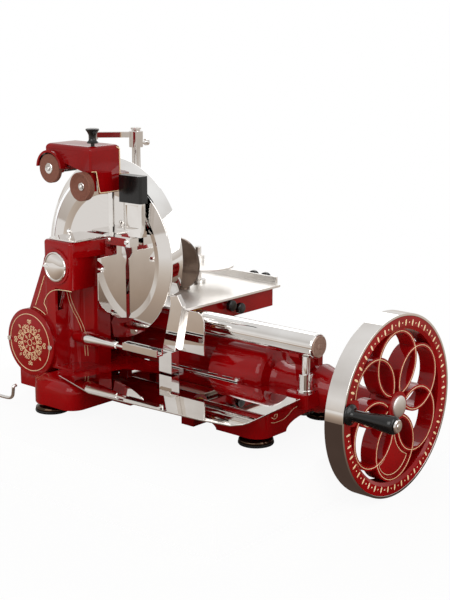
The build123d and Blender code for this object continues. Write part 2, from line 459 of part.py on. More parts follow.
# ---------------------------------------------------------------- deflector, its block, lower rod
plate = plate_x([(-71, 240), (-33, 241), (-20, 238), (-12.6, 230), (-12.6, 136), (-31, 139), (-53, 151), (-66, 163),
                 (-72, 174), (-72, 217), (-60, 218), (-58, 221), (-60, 227), (-71.5, 236)], *DEFL_X)
plate += box(*DEFL_X, -31, -20, 238, 255)
save("deflector_plate", plate)
block = box(CHEEK_X, -87, -33, -14, 255, 268) + box(-110, -90, -28, -18, 266, 274)
block += box(-119, -67, -30, -16, 272, 281) + rounded(-102, -67, -30, -16, 280, 325, 4)
block += rounded(-112, -64, -32, -14, 324, 366, 4)
block -= box(-98, -71, -33, -28, 286, 320) + rod_z(250, 270, SPOST_X, SPOST_Y, SPOST_R + FIT)
save("deflector_block", block)
screws += [Pos(x, -34, 262) * Rot(90, 0, 0) * screw_head(3, 2) for x in (-134, -95)]
cone = turned_x(-56, 103, [(0, -166), (10.5, -166), (11.5, -164), (11.5, -158), (5.5, -96), (4, -95), (4, -77), (0, -77)])
channel = box(-77, -4, -63, -49, 101, 112) - box(-76, 0, -60, -52, 104, 120)
save("adjusting_rod", cone + channel)

# ---------------------------------------------------------------- dial
dial = turned_y(-186, 222, [(0, -104), (16, -104), (20, -101), (24, -100), (24, -95 - GAP), (0, -95 - GAP)])
save("thickness_dial", dial + box(-187, -185, -106, -103.5, 224, 244))

# ---------------------------------------------------------------- slide bar and its supports
guide = turned_x(BAR_Y, BAR_Z, [(0, BAR_X[0]), (BAR_R, BAR_X[0]), (BAR_R, BAR_X[1]), (18, 218), (5, 219), (0, 219)])
drum = turned_x(WHEEL_Y, WHEEL_Z, [(0, DRUM_X[0])] + [(r + GAP, x) for r, x in COVER[1:-2]]
                + [(37.5 + GAP, 200), (36 + GAP, 205), (17 + GAP, 268), (0, 268)])
bracket = plate_x([(57, 56), (70, 56), (76, 92), (66, 116), (60, 126), (34, 126), (34, 116), (50, 100)], 172, 191)
save("end_bracket", bracket - drum - rod_x(150, 220, BAR_Y, BAR_Z, BAR_R + FIT))
save("bar_post", rod_z(66, 70, POST_X, POST_Y, 13) + rod_z(70, 94, POST_X, POST_Y, 10.5)
     + rod_z(94, 120, POST_X, POST_Y, 6) - rod_x(150, 220, BAR_Y, BAR_Z, BAR_R + GAP) - drum)
save("slide_bars", guide, box(-244, 152, RAIL_Y - 7, RAIL_Y + 7, RAIL_Z - 8, RAIL_Z))

# ---------------------------------------------------------------- carriage, rollers, table, feed
car = box(*CAR_X, *CAR_Y, *CAR_Z)
car += rod_x(*CAR_X, BAR_Y, BAR_Z, 26) & box(CAR_X[0] - 1, CAR_X[1] + 1, 15, 80, 100, CAR_Z[1] - 2)
car -= box(CAR_X[0] + WALL, CAR_X[1] - WALL, 79, CAR_Y[1] - WALL, CAR_Z[0] - 5, CAR_Z[1] - 5)
car += box(SCREW_X - 12, SCREW_X + 12, 72, 80, CAR_Z[0], CAR_Z[1])
car += box(LUG_X - 9, LUG_X + 9, CRANK_Y - 6, CRANK_Y + 6, ROD_Z[1] + GAP, 116)
car += rod_z(ROD_Z[0], 50, LUG_X, CRANK_Y, 4)
car -= rod_x(CAR_X[0] - 1, CAR_X[1] + 1, BAR_Y, BAR_Z, BAR_R + BUSH_T)
car -= rod_y(72, CAR_Y[1] + 5, SCREW_X, SCREW_Z, SCREW_R + RUN)
car -= box(SCREW_X - 5, SCREW_X + 5, 84, 204, 145, 160)
car += box(-206, -190, RAIL_Y - 12, RAIL_Y - 9, ROLL_R + RAIL_Z - 5, 154)
car += box(-48, -32, RAIL_Y - 12, RAIL_Y - 9, ROLL_R + RAIL_Z - 5, 154)
for x in (-198, -40):
    car -= rod_y(RAIL_Y - 14, RAIL_Y, x, RAIL_Z + ROLL_R, 3 + RUN)
save("carriage", car)
save("carriage_bushes", *[rod_x(a, a + 20, BAR_Y, BAR_Z, BAR_R + BUSH_T - FIT) - rod_x(a - 1, a + 21, BAR_Y, BAR_Z, BAR_R + RUN)
                          for a in (CAR_X[0], CAR_X[1] - 20)])
for name, x in (("roller_left", -198), ("roller_right", -40)):
    save(name, rod_y(RAIL_Y - 8, RAIL_Y + 5, x, RAIL_Z + ROLL_R, ROLL_R)
         + rod_y(RAIL_Y - 14, RAIL_Y - 7, x, RAIL_Z + ROLL_R, 3))
knob_x = [(0, CAR_X[1]), (4, CAR_X[1]), (4, -14), (9, -13), (9, -6), (7, -5), (0, -5)]
save("carriage_knob_upper", turned_x(117, 149, knob_x))
save("carriage_knob_lower", turned_x(139, 141, knob_x))
table = rounded(*TABLE_X, *TABLE_Y, *TABLE_Z, 10) + box(-225, -20, 244, 248, 161, 174)
for x in (-180, -100, -30):
    table += box(x - 5, x + 5, 30, 212, CAR_Z[1], TABLE_Z[0] + 1)
save("meat_table", table)
save("feed_nut", box(SCREW_X - 9, SCREW_X + 9, 90, 106, 130, 151.5) + box(SCREW_X - 4, SCREW_X + 4, 90, 106, 140,
                                                                          TABLE_Z[0])
     - rod_y(80, 110, SCREW_X, SCREW_Z, SCREW_R + RUN))
wheel_y = [(r, CAR_Y[1] + d) for r, d in ((0, 1), (11, 1), (18.5, 6), (18.5, 12), (6, 14), (0, 14))]
save("feed_screw", rod_y(73, CAR_Y[1] + 14, SCREW_X, SCREW_Z, SCREW_R) + turned_y(SCREW_X, SCREW_Z, wheel_y))
knob_y = [(0, 248), (4, 248), (4, 252), (10, 253), (10, 260), (7, 262), (0, 262)]
save("table_knob_left", turned_y(-79, 166, knob_y))
save("table_knob_right", turned_y(-53, 166, knob_y))

# ---------------------------------------------------------------- meat press and clamp plates
posts = (rod_z(TABLE_Z[1], PRESS_TOP, PRESS_X, PRESS_Y, PRESS_R) + rod_z(TABLE_Z[1], 169, PRESS_X, PRESS_Y, 13)
         + rod_z(PRESS_TOP - 1, PRESS_TOP + 2, PRESS_X, PRESS_Y, PRESS_R + 1.5))
collar = rod_z(PRESS_TOP - 30, PRESS_TOP - 18, PRESS_X, PRESS_Y, 11.5)
collar += rod_y(PRESS_Y + 9, PRESS_Y + 22, PRESS_X, PRESS_TOP - 24, 3) + rod_y(PRESS_Y + 22, PRESS_Y + 27, PRESS_X,
                                                                              PRESS_TOP - 24, 5.5)
save("press_collar", collar - rod_z(PRESS_TOP - 40, PRESS_TOP - 10, PRESS_X, PRESS_Y, PRESS_R + RUN))
reach = sqrt((ARM_X - PRESS_X) ** 2 + (ARM_Y - PRESS_Y) ** 2)
turn = degrees(atan2(ARM_Y - PRESS_Y, ARM_X - PRESS_X))
arm = Pos(PRESS_X, PRESS_Y, 0) * Rot(0, 0, turn) * box(8, reach, -5, 5, PRESS_TOP - 14, PRESS_TOP - 5)
arm += rod_z(PRESS_TOP - 18, PRESS_TOP - 4, PRESS_X, PRESS_Y, 11.5)
arm += rod_z(PRESS_TOP - 17, PRESS_TOP - 3, ARM_X, ARM_Y, 8) + rod_z(PRESS_TOP - 88, PRESS_TOP, ARM_X, ARM_Y, 4)
arm += rod_z(PRESS_TOP - 96, PRESS_TOP - 88, ARM_X, ARM_Y, 26)
save("press_arm", arm - rod_z(PRESS_TOP - 40, PRESS_TOP + 4, PRESS_X, PRESS_Y, PRESS_R + RUN))
endp = rod_y(108, 112, -115, 206, 42) + rod_z(TABLE_Z[1], 206, -115, 116, 4.5) + rod_y(110, 118, -115, 206, 8)
save("end_plate", endp + rod_z(TABLE_Z[1], 167, -115, 116, 12))
save("table_posts", posts, rod_z(TABLE_Z[1], 224, CPOST_X, CPOST_Y, 6) + rod_z(TABLE_Z[1], 168, CPOST_X, CPOST_Y, 13))
clamp = rod_z(194, 197, CLAMP_X, CLAMP_Y, CLAMP_R) - Pos(CLAMP_X - 14, CLAMP_Y - CLAMP_R + 4, 195) * Rot(0, 0, 45) * Box(12, 12, 10)
clamp -= box(-165, -55, 100, 113, 190, 200) + box(-125, -105, 100, 122, 190, 200)
clamp += rod_z(196, 210, CPOST_X, CPOST_Y, 11)
save("clamp_plate", clamp - rod_z(190, 250, CPOST_X, CPOST_Y, 6 + RUN))

# ---------------------------------------------------------------- sharpener
left, right, low, top = *SHARP_X, *SHARP_Z
body = plate_y([(left, low), (left, top), (right, top), (right, low + 6), (-138, low + 4), (-185, low + 16), (-192, low)],
               *SHARP_Y)
body = fillet(body.edges().filter_by_position(Axis.Z, top - 0.1, top + 0.1), 7)
body = fillet(body.edges().filter_by(Axis.Z).filter_by_position(Axis.X, right - 0.1, right + 0.1), 3)
body -= box(left + 5, right - 5, SHARP_Y[0] + 5, SHARP_Y[1] - 5, 300, top - 5)
body += rod_y(SHARP_Y[0], -30, *WHEEL1, 8) + box(WHEEL2[0] - 8, WHEEL2[0] + 8, -72, -58, WHEEL2[1] - 9, low + 10)
body += (rod_y(SHARP_Y[0] - 10, SHARP_Y[0] + 3, *WHEEL1, WHEEL1_R + 6) - rod_y(-100, -60, *WHEEL1, WHEEL1_R + 2.5)) \
    & box(-260, -160, -100, -60, WHEEL1[1] + 2, 420)
body += plate_x([(-70, low + 8), (-62, low + 4), (-57, 337), (-14, 337), (SHARP_Y[1], low - 16), (SHARP_Y[1], low + 12),
                 (-70, low + 12)], right - 2.6, right)
body += box(-142, right - 2, -34, SHARP_Y[1], top - 12, top - 3)
body -= rod_z(300, top - 7, SPOST_X, SPOST_Y, SPOST_R + RUN)
body -= rod_y(-90, -20, *WHEEL1, 4 + RUN) + rod_y(-90, -50, *WHEEL2, 4 + RUN)
body -= rod_z(380, 420, SPOST_X, -62, 3 + RUN)
save("sharpener_body", body)
save("sharpener_post", rod_z(256, 396, SPOST_X, SPOST_Y, SPOST_R))
save("push_knob", turned_z(SPOST_X, -62, [(0, 384), (3, 384), (3, 414), (8.5, 415), (5.5, 422), (10.5, 434), (9.5, 437), (0, 437)]))
save("grinding_wheel", rod_y(-84, -76, *WHEEL1, WHEEL1_R) + rod_y(-86, -34, *WHEEL1, 4))
save("honing_wheel", turned_y(*WHEEL2, [(0, -85), (5, -85), (5, -82), (WHEEL2_R - 7, -82), (WHEEL2_R - 2, -87),
                                        (WHEEL2_R, -87), (WHEEL2_R, -76), (0, -76)]) + rod_y(-78, -54, *WHEEL2, 4))

# ---------------------------------------------------------------- receiving tray
tray = plate_z([(-148, -132), (-47, -165), (38, -161), (164, -153), (212, -145), (222, -130), (224, -116), (211, 13),
                (-6, 13), (-6, -26), (-46, -26), (-96, -40), (-112, -116)], 60, 62)
save("receiving_tray", tray)
bar = box(-53, 88, 16, 31.5, 56, 64)
for x in (-30, 0, 30, 60):
    bar -= box(x - 10, x + 10, 22, 27, 50, 70)
save("tray_bracket", bar)
screws += [Pos(x, 24.5, 65) * screw_head(4, 2) for x in (-47, 81)]
save("slotted_screws", *screws)

# ---------------------------------------------------------------- release lever
lever = rod_y(-158, -150, -228, 34, 4) + rod_z(10, 38, -228, -156, 2.4) + rod_x(-300, -226, -156, 10, 2.4)
save("release_lever", lever)
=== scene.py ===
import bpy, bmesh, json
from math import atan2, cos, degrees, hypot, pi, radians, sin
from mathutils import Matrix, Vector


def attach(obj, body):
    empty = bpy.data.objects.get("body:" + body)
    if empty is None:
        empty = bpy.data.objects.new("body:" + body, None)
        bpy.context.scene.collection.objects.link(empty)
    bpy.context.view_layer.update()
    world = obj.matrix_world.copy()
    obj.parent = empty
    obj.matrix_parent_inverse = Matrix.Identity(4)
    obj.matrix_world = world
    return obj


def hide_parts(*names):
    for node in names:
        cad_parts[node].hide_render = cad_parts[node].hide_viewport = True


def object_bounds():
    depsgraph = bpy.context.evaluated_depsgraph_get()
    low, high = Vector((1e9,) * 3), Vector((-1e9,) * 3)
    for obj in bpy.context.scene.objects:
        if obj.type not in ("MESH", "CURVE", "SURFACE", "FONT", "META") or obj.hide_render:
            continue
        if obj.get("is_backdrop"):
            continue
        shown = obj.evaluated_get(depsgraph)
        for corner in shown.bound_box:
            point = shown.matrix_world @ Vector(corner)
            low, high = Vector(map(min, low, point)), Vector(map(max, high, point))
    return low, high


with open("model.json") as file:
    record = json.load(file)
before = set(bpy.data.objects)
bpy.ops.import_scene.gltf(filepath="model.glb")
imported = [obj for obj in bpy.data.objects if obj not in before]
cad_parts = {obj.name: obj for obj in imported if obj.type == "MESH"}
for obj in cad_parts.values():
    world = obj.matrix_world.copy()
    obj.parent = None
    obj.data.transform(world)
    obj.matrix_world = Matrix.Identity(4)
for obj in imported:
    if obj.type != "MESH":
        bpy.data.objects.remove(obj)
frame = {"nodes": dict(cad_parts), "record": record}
cad_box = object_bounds()
MM = 0.001
ORIGIN = Vector((171.0, -39.0, 0.0))       # front right foot, in the millimetres that the pieces are drawn in
scene = bpy.context.scene


def at(place):
    """Metres in the frame of a place in drawing millimetres."""
    return (Vector(place) - ORIGIN) * MM


# ---------------------------------------------------------------- colour and nodes
def srgb(code):
    """Linear RGBA of an sRGB hex colour."""
    out = []
    for i in (1, 3, 5):
        c = int(code[i:i + 2], 16) / 255
        out.append(c / 12.92 if c <= 0.04045 else ((c + 0.055) / 1.055) ** 2.4)
    return (*out, 1.0)


def add(tree, kind, inputs=None, **settings):
    """Adds one node; inputs are values or the sockets that feed them."""
    node = tree.nodes.new(kind)
    for key, value in settings.items():
        setattr(node, key, value)
    for key, value in (inputs or {}).items():
        if isinstance(value, bpy.types.NodeSocket):
            tree.links.new(value, node.inputs[key])
        else:
            node.inputs[key].default_value = value
    return node


def new_finish(name):
    material = bpy.data.materials.new(name)
    material.use_nodes = True
    material.node_tree.nodes.clear()
    return material, material.node_tree


def close_finish(tree, shader):
    add(tree, "ShaderNodeOutputMaterial", {"Surface": shader.outputs[0]})


def ramp(tree, factor, stops):
    node = add(tree, "ShaderNodeValToRGB", {"Fac": factor})
    points = node.color_ramp.elements
    while len(points) < len(stops):
        points.new(0.5)
    for point, (place, colour) in zip(points, stops):
        point.position = place
        point.color = srgb(colour)
    return node.outputs["Color"]


def enamel(name, base, deep, gloss, shine, ripple=0.02):
    """Stoved enamel over cast iron: sprayed thick and polished, so it is deep, clear and faintly rippled."""
    material, tree = new_finish(name)
    place = add(tree, "ShaderNodeTexCoord").outputs["Object"]
    cloud = add(tree, "ShaderNodeTexNoise", {"Vector": place, "Scale": 14.0, "Detail": 3.0})
    flow = add(tree, "ShaderNodeTexNoise", {"Vector": place, "Scale": 150.0, "Detail": 2.0})
    colour = ramp(tree, cloud.outputs["Fac"], [(0.32, deep), (0.68, base)])
    rough = add(tree, "ShaderNodeMapRange", {"Value": cloud.outputs["Fac"], "To Min": gloss, "To Max": gloss + 0.05})
    bump = add(tree, "ShaderNodeBump", {"Height": flow.outputs["Fac"], "Strength": ripple, "Distance": 0.0006})
    shader = add(tree, "ShaderNodeBsdfPrincipled", {
        "Base Color": colour, "Roughness": rough.outputs["Result"], "IOR": 1.5, "Coat Weight": 0.15,
        "Coat Roughness": 0.02, "Specular IOR Level": shine, "Normal": bump.outputs["Normal"]})
    close_finish(tree, shader)
    return material


def plated(name, base, tone, gloss, grain=900.0, depth=0.006):
    """Nickel or chrome plate on buffed metal: a mirror with faint buffing haze."""
    material, tree = new_finish(name)
    place = add(tree, "ShaderNodeTexCoord").outputs["Object"]
    haze = add(tree, "ShaderNodeTexNoise", {"Vector": place, "Scale": 22.0, "Detail": 4.0})
    buff = add(tree, "ShaderNodeTexNoise", {"Vector": place, "Scale": grain, "Detail": 2.0})
    colour = ramp(tree, haze.outputs["Fac"], [(0.3, tone), (0.7, base)])
    rough = add(tree, "ShaderNodeMapRange", {"Value": haze.outputs["Fac"], "To Min": gloss, "To Max": gloss * 1.8})
    bump = add(tree, "ShaderNodeBump", {"Height": buff.outputs["Fac"], "Strength": depth, "Distance": 0.0003})
    shader = add(tree, "ShaderNodeBsdfPrincipled", {
        "Base Color": colour, "Metallic": 1.0, "Roughness": rough.outputs["Result"],
        "Normal": bump.outputs["Normal"]})
    close_finish(tree, shader)
    return material


def moulded(name, base, tone, rough, scale, strength, ior=1.5):
    """Moulded or sintered matter with a fine grain."""
    material, tree = new_finish(name)
    place = add(tree, "ShaderNodeTexCoord").outputs["Object"]
    grit = add(tree, "ShaderNodeTexNoise", {"Vector": place, "Scale": scale, "Detail": 4.0, "Roughness": 0.7})
    colour = ramp(tree, grit.outputs["Fac"], [(0.35, tone), (0.65, base)])
    bump = add(tree, "ShaderNodeBump", {"Height": grit.outputs["Fac"], "Strength": strength, "Distance": 0.0005})
    shader = add(tree, "ShaderNodeBsdfPrincipled", {
        "Base Color": colour, "Roughness": rough, "IOR": ior, "Normal": bump.outputs["Normal"]})
    close_finish(tree, shader)
    return material


def ground_disc(name, base, tone, centre):
    """Hollow-ground blade steel: a mirror with the fine rings that the grinding left about its centre."""
    material, tree = new_finish(name)
    place = add(tree, "ShaderNodeTexCoord").outputs["Object"]
    middle = add(tree, "ShaderNodeMapping", {"Vector": place, "Location": -at(centre)})
    rings = add(tree, "ShaderNodeTexWave", {"Vector": middle.outputs[0], "Scale": 160.0, "Distortion": 0.6,
                                            "Detail": 2.0}, wave_type="RINGS", rings_direction="Y")
    colour = ramp(tree, rings.outputs["Fac"], [(0.1, tone), (0.9, base)])
    bump = add(tree, "ShaderNodeBump", {"Height": rings.outputs["Fac"], "Strength": 0.0012, "Distance": 0.0001})
    shader = add(tree, "ShaderNodeBsdfPrincipled", {
        "Base Color": colour, "Metallic": 1.0, "Roughness": 0.045, "Normal": bump.outputs["Normal"]})
    close_finish(tree, shader)
    return material


RED = enamel("stoved_red_enamel", "#960509", "#820306", 0.05, 0.22)
CREAM = enamel("cream_lining_paint", "#FCE4BC", "#F2CE9A", 0.25, 0.30, 0.05)
CHROME = plated("buffed_chrome_plate", "#F6F5F3", "#EAE7E4", 0.03)
MIRROR = plated("mirror_polished_sheet", "#F1EEEB", "#E6E2DE", 0.015, 300.0, 0.001)
SATIN = plated("satin_stainless_sheet", "#F6F4F1", "#EFECE8", 0.26, 1200.0, 0.01)
BLADE = ground_disc("hollow_ground_blade_steel", "#F0EEEC", "#E4E1DE", (-155.0, -9.0, 231.0))
STEEL = plated("turned_bright_steel", "#CFCFCE", "#B9B8B6", 0.14, 1400.0, 0.02)
# nickel plate whose colour is darkened to paint the shade and the brown reflection on the end plate behind the blade
SHADE_DARKENED_NICKEL = plated("nickel_plate_darkened_as_shade", "#7A6A5F", "#5C4E46", 0.10, 700.0, 0.01)
BRONZED = plated("dark_bronzed_metal", "#5A4638", "#33261F", 0.08, 700.0, 0.01)
GEAR = plated("machined_gear_steel", "#8E8D8B", "#73726F", 0.30, 700.0, 0.05)
BRONZE = plated("bearing_bronze", "#B98A45", "#9A6E33", 0.28, 700.0, 0.04)
# black phenolic for knobs, grips and rests; the same black also paints the shade under the sharpener body
BLACK = moulded("black_phenolic_and_painted_shade", "#121212", "#080808", 0.18, 420.0, 0.02)
RUBBER = moulded("matt_black_rubber", "#1A1A1A", "#101010", 0.62, 900.0, 0.10)
GRIT = moulded("vitrified_brown_abrasive", "#8A5644", "#643626", 0.75, 1600.0, 0.45)
TAN = moulded("waxed_brown_fibre", "#B09683", "#97796A", 0.30, 260.0, 0.05)


# ---------------------------------------------------------------- making pieces
def finish_piece(obj, materials, body, nodes=(), angle=32.0, rule=None):
    """Smooth shading, finish, body and the CAD nodes that the piece stands for; rule picks a finish by face."""
    mesh = obj.data
    materials = materials if isinstance(materials, (list, tuple)) else [materials]
    if materials[0] is not None:
        mesh.materials.clear()
        for material in materials:
            mesh.materials.append(material)
    for face in mesh.polygons:
        face.use_smooth = True
        if rule:
            place = face.center / MM + ORIGIN
            face.material_index = rule(place.x, place.y, place.z, face.normal)
    if not mesh.has_custom_normals:
        mesh.set_sharp_from_angle(angle=radians(angle))
    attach(obj, body)
    if nodes:
        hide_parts(*nodes)
    return obj


def from_bmesh(name, bm):
    mesh = bpy.data.meshes.new(name)
    bm.to_mesh(mesh)
    bm.free()
    obj = bpy.data.objects.new(name, mesh)
    scene.collection.objects.link(obj)
    return obj


def bake(obj):
    """Applies the modifiers of obj to its mesh."""
    deps = bpy.context.evaluated_depsgraph_get()
    mesh = bpy.data.meshes.new_from_object(obj.evaluated_get(deps))
    obj.modifiers.clear()
    obj.data = mesh
    return obj


def soften(obj, width, segments=2, angle=30.0):
    """Eases the edges and keeps the flat faces flat under the light."""
    for face in obj.data.polygons:
        face.use_smooth = True
    obj.data.set_sharp_from_angle(angle=radians(angle + 2))
    tool = obj.modifiers.new("edge", "BEVEL")
    tool.width = width * MM
    tool.segments = segments
    tool.limit_method = "ANGLE"
    tool.angle_limit = radians(angle)
    tool.use_clamp_overlap = True
    tool.harden_normals = True
    return bake(obj)


BODY_OF = {n: b for b, members in frame["record"]["behaviour"]["bodies"].items() for n in members}
SLOT_OF = {s["node"]: s["material_slot"] for s in frame["record"]["subparts"]}
SLOT_FINISH = {"red_enamel": RED, "chrome": CHROME, "polished_steel": STEEL, "black_handle": BLACK, "abrasive": GRIT,
               "bronze": BRONZE, "gear_steel": GEAR, "black_rubber": RUBBER}
DONE = set()


def dress(node, width=0.6, materials=None, angle=32.0, rule=None, segments=2):
    """A copy of a CAD node with its edges eased, in its real finish."""
    bm = bmesh.new()
    bm.from_mesh(frame["nodes"][node].data)
    bmesh.ops.remove_doubles(bm, verts=bm.verts, dist=2e-6)
    bmesh.ops.dissolve_limit(bm, angle_limit=radians(0.6), verts=bm.verts, edges=bm.edges)
    obj = from_bmesh("finished_" + node, bm)
    if width:
        soften(obj, width, segments)
    DONE.add(node)
    finish = materials or SLOT_FINISH[SLOT_OF[node]]
    return finish_piece(obj, finish, BODY_OF[node], [node], angle, rule)


def along(axis, place):
    """Matrix that lays a piece made round Z along axis, through place."""
    spin = {"X": Matrix.Rotation(pi / 2, 4, "Y"), "Y": Matrix.Rotation(-pi / 2, 4, "X"), "Z": Matrix.Identity(4)}
    return Matrix.Translation(at(place)) @ spin[axis]


def lathe(name, axis, places, profile, steps=96, closed=False):
    """Turned piece: (radius, height) points about an axis, once through each place."""
    bm = bmesh.new()
    for place in places:
        rings, lay = [], along(axis, place)
        for r, h in profile:
            count = 1 if r < 1e-6 else steps
            turns = [2 * pi * i / steps for i in range(count)]
            rings.append([bm.verts.new(lay @ Vector((r * MM * cos(a), r * MM * sin(a), h * MM))) for a in turns])
        for a, b in list(zip(rings, rings[1:] + rings[:1])) if closed else list(zip(rings, rings[1:])):
            for i in range(steps):
                j = (i + 1) % steps
                corners = [a[i % len(a)], a[j % len(a)], b[j % len(b)], b[i % len(b)]]
                corners = [c for k, c in enumerate(corners) if c not in corners[:k]]
                if len(corners) > 2:
                    bm.faces.new(corners)
    bmesh.ops.recalc_face_normals(bm, faces=bm.faces)
    return from_bmesh(name, bm)


def slab(name, outline, axis, low, high):
    """Plate cut to an outline in the plane square to axis, between two heights along it."""
    order = {"X": lambda u, v, w: (w, u, v), "Y": lambda u, v, w: (u, w, v), "Z": lambda u, v, w: (u, v, w)}[axis]
    bm = bmesh.new()
    rows = [[bm.verts.new(at(order(u, v, w))) for u, v in outline] for w in (low, high)]
    for i in range(len(outline)):
        j = (i + 1) % len(outline)
        bm.faces.new((rows[0][i], rows[0][j], rows[1][j], rows[1][i]))
    bm.faces.new(rows[0])
    bm.faces.new(rows[1])
    bmesh.ops.recalc_face_normals(bm, faces=bm.faces)
    return from_bmesh(name, bm)


def loft(name, sections):
    """Skin over rings of the same number of places, closed at both ends."""
    bm = bmesh.new()
    rings = [[bm.verts.new(at(p)) for p in ring] for ring in sections]
    n = len(rings[0])
    for a, b in zip(rings, rings[1:]):
        for i in range(n):
            bm.faces.new((a[i], a[(i + 1) % n], b[(i + 1) % n], b[i]))
    bm.faces.new(rings[0])
    bm.faces.new(rings[-1])
    bmesh.ops.recalc_face_normals(bm, faces=bm.faces)
    return from_bmesh(name, bm)


def arc(cu, cv, r, start, stop, count=16):
    return [(cu + r * cos(radians(start + (stop - start) * i / count)),
             cv + r * sin(radians(start + (stop - start) * i / count))) for i in range(count + 1)]


def rounded_ring(u0, u1, v0, v1, r, count=5):
    """Outline of a rectangle with round corners."""
    return (arc(u1 - r, v1 - r, r, 0, 90, count) + arc(u0 + r, v1 - r, r, 90, 180, count)
            + arc(u0 + r, v0 + r, r, 180, 270, count) + arc(u1 - r, v0 + r, r, 270, 360, count))


def smooth_line(points, closed=False, parts=8):
    """Catmull-Rom line through points."""
    pts = [Vector(p) for p in points]
    n = len(pts)
    out = []
    for i in range(n if closed else n - 1):
        p1, p2 = pts[i], pts[(i + 1) % n]
        p0 = pts[i - 1] if closed or i else p1
        p3 = pts[(i + 2) % n] if closed or i + 2 < n else p2
        for k in range(parts):
            t = k / parts
            out.append(0.5 * (2 * p1 + (p2 - p0) * t + (2 * p0 - 5 * p1 + 4 * p2 - p3) * t * t
                              + (3 * p1 - 3 * p2 + p3 - p0) * t ** 3))
    return [tuple(p) for p in out] + ([] if closed else [tuple(pts[-1])])


def tubes(name, lines, radius, closed=False):
    """Round bar or paint line along each list of places, as one mesh."""
    curve = bpy.data.curves.new(name, "CURVE")
    curve.dimensions = "3D"
    curve.bevel_depth = radius * MM
    curve.bevel_resolution = 3 if radius > 1.0 else 1
    curve.use_fill_caps = True
    for line in lines:
        spline = curve.splines.new("POLY")
        spline.points.add(len(line) - 1)
        for point, place in zip(spline.points, line):
            point.co = (*at(place), 1.0)
        spline.use_cyclic_u = closed
    holder = bpy.data.objects.new(name, curve)
    scene.collection.objects.link(holder)
    bpy.context.view_layer.update()
    mesh = bpy.data.meshes.new_from_object(holder.evaluated_get(bpy.context.evaluated_depsgraph_get()))
    bpy.data.objects.remove(holder)
    obj = bpy.data.objects.new(name, mesh)
    scene.collection.objects.link(obj)
    return obj


def lined(name, lines, body, closed=False, radius=0.55):
    """Cream lining, a brushed line that stands a little proud of the enamel."""
    return finish_piece(tubes(name, lines, radius, closed), CREAM, body, angle=60)


# ---------------------------------------------------------------- pieces that repeat
def new_growth(name, sizes):
    """Geometry tree with a named input for each size; whole numbers are counts."""
    tree = bpy.data.node_groups.new(name, "GeometryNodeTree")
    tree.interface.new_socket(name="Geometry", in_out="OUTPUT", socket_type="NodeSocketGeometry")
    for label, value in sizes.items():
        kind = "NodeSocketInt" if isinstance(value, int) else "NodeSocketFloat"
        tree.interface.new_socket(name=label, in_out="INPUT", socket_type=kind)
    return tree, add(tree, "NodeGroupInput").outputs


def grow(name, tree, shape, material, sizes, lay):
    """Lays the shape in its plane, ends the tree, runs it once with its sizes and keeps the plain mesh."""
    laid = add(tree, "GeometryNodeTransform", {"Geometry": shape, "Translation": lay.to_translation(),
                                               "Rotation": lay.to_euler()})
    real = add(tree, "GeometryNodeRealizeInstances", {"Geometry": laid.outputs[0]})
    done = add(tree, "GeometryNodeSetMaterial", {"Geometry": real.outputs[0], "Material": material})
    add(tree, "NodeGroupOutput", {"Geometry": done.outputs[0]})
    obj = from_bmesh(name, bmesh.new())
    tool = obj.modifiers.new("growth", "NODES")
    tool.node_group = tree
    for item in tree.interface.items_tree:
        if item.in_out == "INPUT":
            tool[item.identifier] = sizes[item.name]
    return bake(obj)


def fan_out(tree, shape, count, step, start):
    """Instances of a shape turned about the middle, step by step."""
    line = add(tree, "GeometryNodeMeshLine", {"Count": count, "Offset": (0, 0, 0)})
    number = add(tree, "GeometryNodeInputIndex")
    turn = add(tree, "ShaderNodeMath", {0: number.outputs[0], 1: step, 2: start}, operation="MULTIPLY_ADD")
    spin = add(tree, "ShaderNodeCombineXYZ", {"Z": turn.outputs[0]})
    return add(tree, "GeometryNodeInstanceOnPoints", {"Points": line.outputs[0], "Instance": shape,
                                                      "Rotation": spin.outputs[0]}).outputs[0]


def painted(tree, curves, width):
    """A brushed paint line along curves."""
    real = add(tree, "GeometryNodeRealizeInstances", {"Geometry": curves})
    brush = add(tree, "GeometryNodeCurvePrimitiveCircle", {"Resolution": 6, "Radius": width})
    return add(tree, "GeometryNodeCurveToMesh", {"Curve": real.outputs[0], "Profile Curve": brush.outputs[0],
                                                 "Fill Caps": True}).outputs[0]


def upon(x_way, y_way, z_way, place):
    """Matrix whose local axes point these ways, at a place."""
    return Matrix.Translation(at(place)) @ Matrix((x_way, y_way, z_way)).transposed().to_4x4()


# ---------------------------------------------------------------- flywheel
WHEEL = Vector((334.0, 82.0, 60.0))
RING_AT, RING_R = 62.5, 47.5               # petal rings: distance from the middle, radius
WHEEL_FACE = upon((0, 1, 0), (0, 0, 1), (1, 0, 0), WHEEL)
dress("flywheel", 1.3)
dress("rim_band", 0.7, MIRROR)

sizes = {"Rings": 6, "Centre radius": RING_AT * MM, "Ring radius": RING_R * MM, "Line": 0.55 * MM}
tree, size = new_growth("petal_lining", sizes)
ring = add(tree, "GeometryNodeCurvePrimitiveCircle", {"Resolution": 96, "Radius": size["Ring radius"]})
shift = add(tree, "ShaderNodeCombineXYZ", {"X": size["Centre radius"]})
ring = add(tree, "GeometryNodeTransform", {"Geometry": ring.outputs[0], "Translation": shift.outputs[0]})
step = add(tree, "ShaderNodeMath", {0: 2 * pi, 1: size["Rings"]}, operation="DIVIDE")
spread = fan_out(tree, ring.outputs[0], size["Rings"], step.outputs[0], radians(30))
petals = grow("flywheel_petal_lining", tree, painted(tree, spread, size["Line"]), CREAM, sizes,
              upon((0, 1, 0), (0, 0, 1), (1, 0, 0), WHEEL - Vector((3, 0, 0))))
finish_piece(petals, None, "flywheel", angle=60)


def ring_centre(k):
    return RING_AT * cos(radians(30 + 60 * k)), RING_AT * sin(radians(30 + 60 * k))


